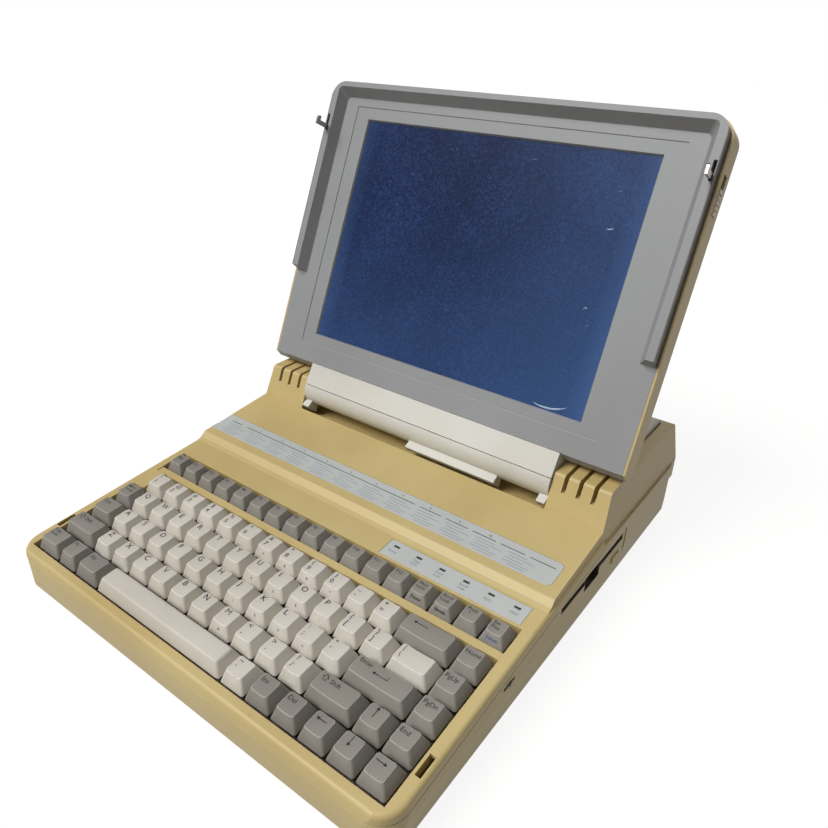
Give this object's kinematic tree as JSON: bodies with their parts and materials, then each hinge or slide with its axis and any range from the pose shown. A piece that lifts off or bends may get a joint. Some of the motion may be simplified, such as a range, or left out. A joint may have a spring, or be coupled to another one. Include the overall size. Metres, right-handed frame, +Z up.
{
  "type": "laptop computer",
  "caption": "Thick portable computer with a sloping full keyboard, a deep hinged lid with a recessed screen, lid latches and a disk drive in its side.",
  "frame": {"origin": "centre of the case's footprint, on the surface the feet stand on", "axes": "+X to the user's right, +Y to the back of the case, +Z up; the lid stands open at rest"},
  "size_m": [0.316, 0.3594, 0.2961],
  "materials": {
    "case_plastic": "fine-textured yellowed moulded plastic",
    "bezel_plastic": "fine-textured grey moulded plastic",
    "cream_plastic": "fine-textured cream moulded plastic",
    "key_cream": "satin key caps",
    "key_grey": "satin key caps",
    "pale_strip": "printed paper under clear film",
    "lamp_dark": "dark translucent lamp windows",
    "sheet_steel": "zinc-plated sheet",
    "hook_chrome": "bright plated",
    "black_plastic": "moulded black",
    "circuit_board": "green solder mask",
    "display_glass": "matt polariser",
    "display_module": "liquid crystal panel in its frame",
    "battery_case": "moulded case",
    "foot_rubber": "matt rubber",
    "drive_plastic": "moulded drive face"
  },
  "bodies": {
    "base": {"lower_housing": "case_plastic", "upper_housing": "case_plastic", "label_strip": "pale_strip", "lamp_plate": "pale_strip", "lamps": "lamp_dark", "key_plate": "sheet_steel", "key_switches": "black_plastic", "key_board": "circuit_board", "hinge_left": "sheet_steel", "hinge_right": "sheet_steel", "floppy_drive": "drive_plastic", "battery_cover": "cream_plastic", "battery_pack": "battery_case", "rear_sockets": "sheet_steel", "main_board": "circuit_board", "rubber_feet": "foot_rubber", "case_screws": "sheet_steel"},
    "lid": {"lid_back_shell": "case_plastic", "lid_bezel": "bezel_plastic", "lcd_window": "display_glass", "lcd_module": "display_module", "neck_barrel": "cream_plastic", "neck_panel": "cream_plastic"},
    "latch_left": {"latch_hook_left": "hook_chrome", "latch_knob_left": "cream_plastic"},
    "latch_right": {"latch_hook_right": "hook_chrome", "latch_knob_right": "cream_plastic"},
    "eject_button": {"eject_button": "drive_plastic"},
    "contrast_wheel": {"contrast_wheel": "black_plastic"},
    "power_switch": {"power_switch": "black_plastic"},
    "key_escape": {"key_escape": "key_grey"},
    "keys_functions": {"keys_functions": "key_cream"},
    "keys_locks": {"keys_locks": "key_grey"},
    "keys_numbers": {"keys_numbers": "key_cream"},
    "key_backspace": {"key_backspace": "key_grey"},
    "key_home": {"key_home": "key_grey"},
    "key_tab": {"key_tab": "key_grey"},
    "keys_upper_letters": {"keys_upper_letters": "key_cream"},
    "key_backslash": {"key_backslash": "key_cream"},
    "key_page_up": {"key_page_up": "key_grey"},
    "key_control": {"key_control": "key_grey"},
    "keys_home_letters": {"keys_home_letters": "key_cream"},
    "key_enter": {"key_enter": "key_grey"},
    "key_page_down": {"key_page_down": "key_grey"},
    "key_shift_left": {"key_shift_left": "key_grey"},
    "keys_lower_letters": {"keys_lower_letters": "key_cream"},
    "key_shift_right": {"key_shift_right": "key_grey"},
    "key_up": {"key_up": "key_grey"},
    "key_end": {"key_end": "key_grey"},
    "key_caps_lock": {"key_caps_lock": "key_grey"},
    "key_fn": {"key_fn": "key_grey"},
    "key_alt": {"key_alt": "key_grey"},
    "key_space": {"key_space": "key_cream"},
    "key_grave": {"key_grave": "key_cream"},
    "key_insert": {"key_insert": "key_grey"},
    "key_delete": {"key_delete": "key_grey"},
    "key_left": {"key_left": "key_grey"},
    "key_down": {"key_down": "key_grey"},
    "key_right": {"key_right": "key_grey"}
  },
  "joints": [
    {"name": "lid_hinge", "type": "hinge", "parent": "base", "child": "lid", "pos_m": [0, 0.06048, 0.06955], "axis": [1, 0, 0], "range_deg": [-3, 118.7]},
    {"name": "latch_left", "type": "slide", "parent": "lid", "child": "latch_left", "axis": [0, 0.4051, 0.9143], "range_m": [0, 0.0073]},
    {"name": "latch_right", "type": "slide", "parent": "lid", "child": "latch_right", "axis": [0, 0.4051, 0.9143], "range_m": [0, 0.0073]},
    {"name": "floppy_eject", "type": "slide", "parent": "base", "child": "eject_button", "axis": [-1, 0, 0], "range_m": [0, 0.004], "stiffness_N_per_m": 300, "springref_m": -0.001},
    {"name": "power_slide", "type": "slide", "parent": "base", "child": "power_switch", "axis": [0, 1, 0], "range_m": [0, 0.004]},
    {"name": "contrast_turn", "type": "hinge", "parent": "base", "child": "contrast_wheel", "pos_m": [0.1515, -0.075, 0.0276], "axis": [0, 0, 1], "range_deg": [-135, 135]},
    {"name": "key_escape_press", "type": "slide", "parent": "base", "child": "key_escape", "axis": [0, -0.0837, 0.9965], "range_m": [-0.0035, 0], "stiffness_N_per_m": 150, "springref_m": 0.001},
    {"name": "keys_functions_press", "type": "slide", "parent": "base", "child": "keys_functions", "axis": [0, -0.0837, 0.9965], "range_m": [-0.0035, 0], "stiffness_N_per_m": 1800, "springref_m": 0.001},
    {"name": "keys_locks_press", "type": "slide", "parent": "base", "child": "keys_locks", "axis": [0, -0.0837, 0.9965], "range_m": [-0.0035, 0], "stiffness_N_per_m": 600, "springref_m": 0.001},
    {"name": "keys_numbers_press", "type": "slide", "parent": "base", "child": "keys_numbers", "axis": [0, -0.0837, 0.9965], "range_m": [-0.0035, 0], "stiffness_N_per_m": 1800, "springref_m": 0.001},
    {"name": "key_backspace_press", "type": "slide", "parent": "base", "child": "key_backspace", "axis": [0, -0.0837, 0.9965], "range_m": [-0.0035, 0], "stiffness_N_per_m": 150, "springref_m": 0.001},
    {"name": "key_home_press", "type": "slide", "parent": "base", "child": "key_home", "axis": [0, -0.0837, 0.9965], "range_m": [-0.0035, 0], "stiffness_N_per_m": 150, "springref_m": 0.001},
    {"name": "key_tab_press", "type": "slide", "parent": "base", "child": "key_tab", "axis": [0, -0.0837, 0.9965], "range_m": [-0.0035, 0], "stiffness_N_per_m": 150, "springref_m": 0.001},
    {"name": "keys_upper_letters_press", "type": "slide", "parent": "base", "child": "keys_upper_letters", "axis": [0, -0.0837, 0.9965], "range_m": [-0.0035, 0], "stiffness_N_per_m": 1800, "springref_m": 0.001},
    {"name": "key_backslash_press", "type": "slide", "parent": "base", "child": "key_backslash", "axis": [0, -0.0837, 0.9965], "range_m": [-0.0035, 0], "stiffness_N_per_m": 150, "springref_m": 0.001},
    {"name": "key_page_up_press", "type": "slide", "parent": "base", "child": "key_page_up", "axis": [0, -0.0837, 0.9965], "range_m": [-0.0035, 0], "stiffness_N_per_m": 150, "springref_m": 0.001},
    {"name": "key_control_press", "type": "slide", "parent": "base", "child": "key_control", "axis": [0, -0.0837, 0.9965], "range_m": [-0.0035, 0], "stiffness_N_per_m": 150, "springref_m": 0.001},
    {"name": "keys_home_letters_press", "type": "slide", "parent": "base", "child": "keys_home_letters", "axis": [0, -0.0837, 0.9965], "range_m": [-0.0035, 0], "stiffness_N_per_m": 1650, "springref_m": 0.001},
    {"name": "key_enter_press", "type": "slide", "parent": "base", "child": "key_enter", "axis": [0, -0.0837, 0.9965], "range_m": [-0.0035, 0], "stiffness_N_per_m": 150, "springref_m": 0.001},
    {"name": "key_page_down_press", "type": "slide", "parent": "base", "child": "key_page_down", "axis": [0, -0.0837, 0.9965], "range_m": [-0.0035, 0], "stiffness_N_per_m": 150, "springref_m": 0.001},
    {"name": "key_shift_left_press", "type": "slide", "parent": "base", "child": "key_shift_left", "axis": [0, -0.0837, 0.9965], "range_m": [-0.0035, 0], "stiffness_N_per_m": 150, "springref_m": 0.001},
    {"name": "keys_lower_letters_press", "type": "slide", "parent": "base", "child": "keys_lower_letters", "axis": [0, -0.0837, 0.9965], "range_m": [-0.0035, 0], "stiffness_N_per_m": 1500, "springref_m": 0.001},
    {"name": "key_shift_right_press", "type": "slide", "parent": "base", "child": "key_shift_right", "axis": [0, -0.0837, 0.9965], "range_m": [-0.0035, 0], "stiffness_N_per_m": 150, "springref_m": 0.001},
    {"name": "key_up_press", "type": "slide", "parent": "base", "child": "key_up", "axis": [0, -0.0837, 0.9965], "range_m": [-0.0035, 0], "stiffness_N_per_m": 150, "springref_m": 0.001},
    {"name": "key_end_press", "type": "slide", "parent": "base", "child": "key_end", "axis": [0, -0.0837, 0.9965], "range_m": [-0.0035, 0], "stiffness_N_per_m": 150, "springref_m": 0.001},
    {"name": "key_caps_lock_press", "type": "slide", "parent": "base", "child": "key_caps_lock", "axis": [0, -0.0837, 0.9965], "range_m": [-0.0035, 0], "stiffness_N_per_m": 150, "springref_m": 0.001},
    {"name": "key_fn_press", "type": "slide", "parent": "base", "child": "key_fn", "axis": [0, -0.0837, 0.9965], "range_m": [-0.0035, 0], "stiffness_N_per_m": 150, "springref_m": 0.001},
    {"name": "key_alt_press", "type": "slide", "parent": "base", "child": "key_alt", "axis": [0, -0.0837, 0.9965], "range_m": [-0.0035, 0], "stiffness_N_per_m": 150, "springref_m": 0.001},
    {"name": "key_space_press", "type": "slide", "parent": "base", "child": "key_space", "axis": [0, -0.0837, 0.9965], "range_m": [-0.0035, 0], "stiffness_N_per_m": 150, "springref_m": 0.001},
    {"name": "key_grave_press", "type": "slide", "parent": "base", "child": "key_grave", "axis": [0, -0.0837, 0.9965], "range_m": [-0.0035, 0], "stiffness_N_per_m": 150, "springref_m": 0.001},
    {"name": "key_insert_press", "type": "slide", "parent": "base", "child": "key_insert", "axis": [0, -0.0837, 0.9965], "range_m": [-0.0035, 0], "stiffness_N_per_m": 150, "springref_m": 0.001},
    {"name": "key_delete_press", "type": "slide", "parent": "base", "child": "key_delete", "axis": [0, -0.0837, 0.9965], "range_m": [-0.0035, 0], "stiffness_N_per_m": 150, "springref_m": 0.001},
    {"name": "key_left_press", "type": "slide", "parent": "base", "child": "key_left", "axis": [0, -0.0837, 0.9965], "range_m": [-0.0035, 0], "stiffness_N_per_m": 150, "springref_m": 0.001},
    {"name": "key_down_press", "type": "slide", "parent": "base", "child": "key_down", "axis": [0, -0.0837, 0.9965], "range_m": [-0.0035, 0], "stiffness_N_per_m": 150, "springref_m": 0.001},
    {"name": "key_right_press", "type": "slide", "parent": "base", "child": "key_right", "axis": [0, -0.0837, 0.9965], "range_m": [-0.0035, 0], "stiffness_N_per_m": 150, "springref_m": 0.001}
  ]
}
